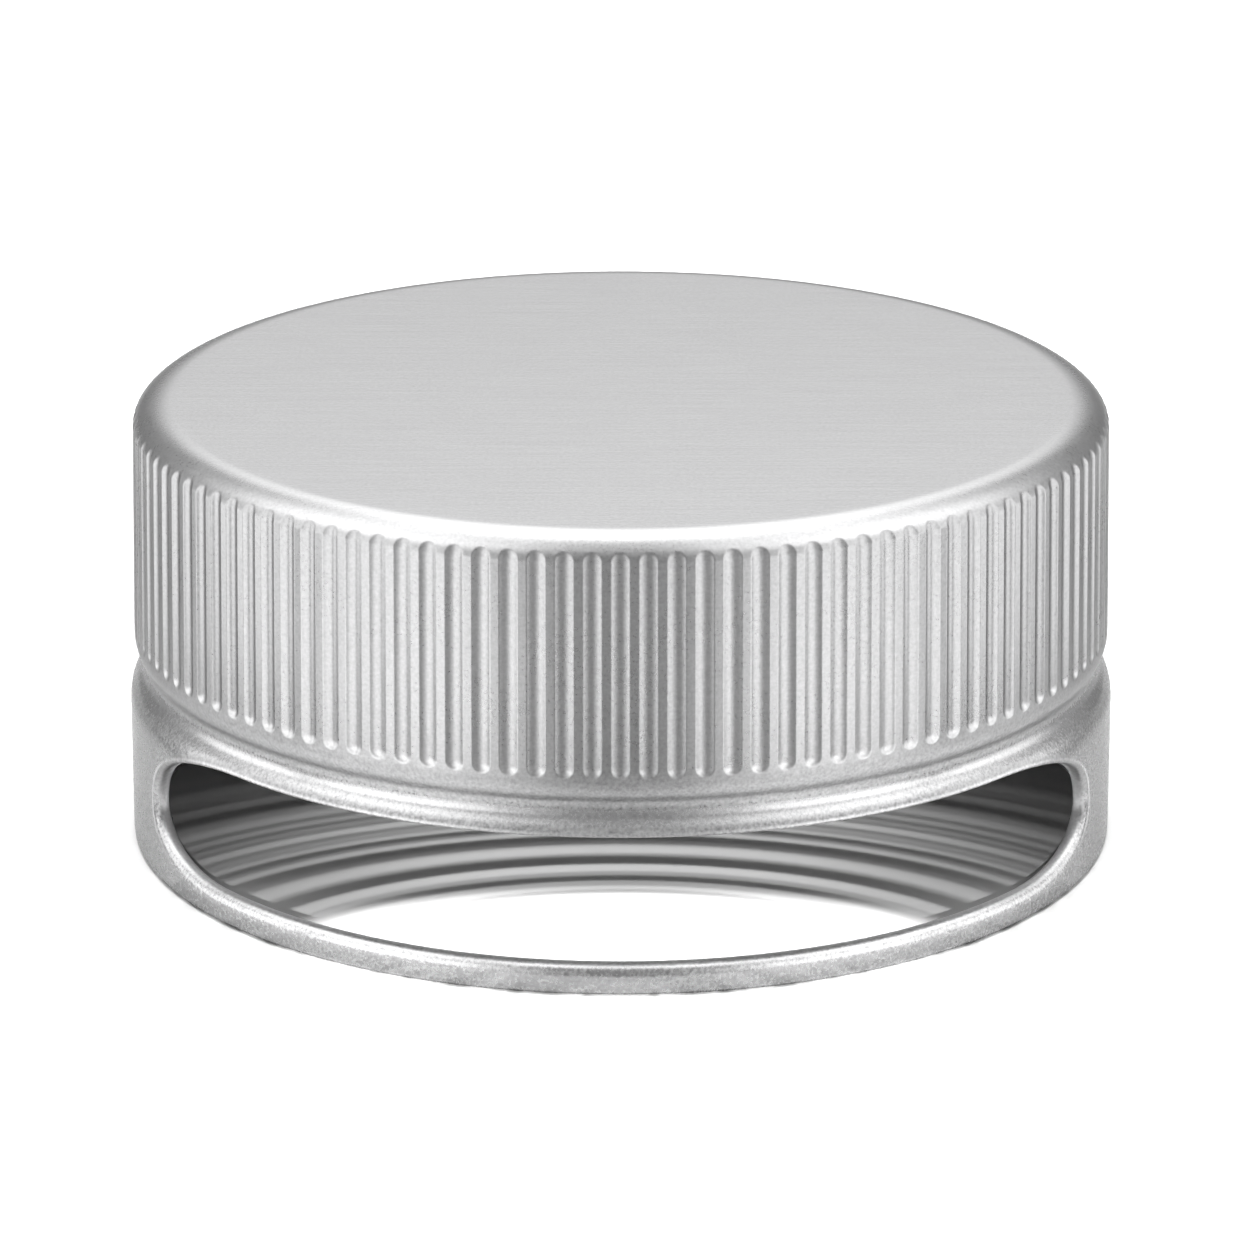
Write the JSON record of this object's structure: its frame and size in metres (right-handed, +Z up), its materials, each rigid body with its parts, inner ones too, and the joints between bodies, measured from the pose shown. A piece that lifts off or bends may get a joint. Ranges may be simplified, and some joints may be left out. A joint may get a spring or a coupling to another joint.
{
  "type": "bottle cap",
  "caption": "Flat-topped aluminium bottle cap with a fluted grip, a waist groove and a skirt with a wide rounded window over a thin rail.",
  "frame": {"origin": "centre of the mouth, in the plane of the rim that the cap stands on", "axes": "+Z up through the top disc, -Y out through the middle of the window"},
  "size_m": [0.038, 0.038, 0.0173],
  "materials": {
    "aluminium": "satin, finely blasted, with polished edges"
  },
  "bodies": {
    "root": {"cap": "aluminium"}
  },
  "joints": []
}
